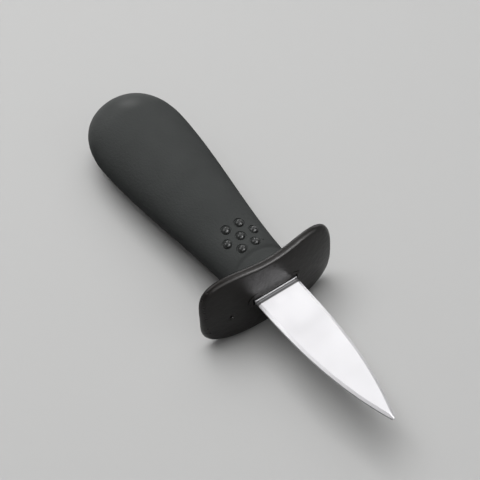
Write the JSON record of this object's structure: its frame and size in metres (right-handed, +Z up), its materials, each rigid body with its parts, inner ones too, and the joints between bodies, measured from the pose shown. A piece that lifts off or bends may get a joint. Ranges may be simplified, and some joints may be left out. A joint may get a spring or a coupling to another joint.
{
  "type": "oyster knife",
  "caption": "Oyster knife with a short spear-shaped steel blade, a swept oval hand guard and a pear-shaped moulded handle with a nubbed thumb rest.",
  "frame": {"origin": "middle of the knife's box on the table that it rests on", "axes": "+X along the knife from the butt to the blade's tip, +Z up as the knife lies on a table on the guard's lower rim and the handle's belly, +Y across the blade"},
  "size_m": [0.1598, 0.052, 0.031],
  "materials": {
    "blade_steel": "bright satin-ground stainless steel with a duller unground band at the root",
    "guard_plastic": "black moulded plastic, half gloss, faintly wavy skin",
    "handle_plastic": "black moulded plastic, fine matte skin, polished a little at the butt"
  },
  "bodies": {
    "root": {"blade": "blade_steel", "guard": "guard_plastic", "handle": "handle_plastic"}
  },
  "joints": []
}
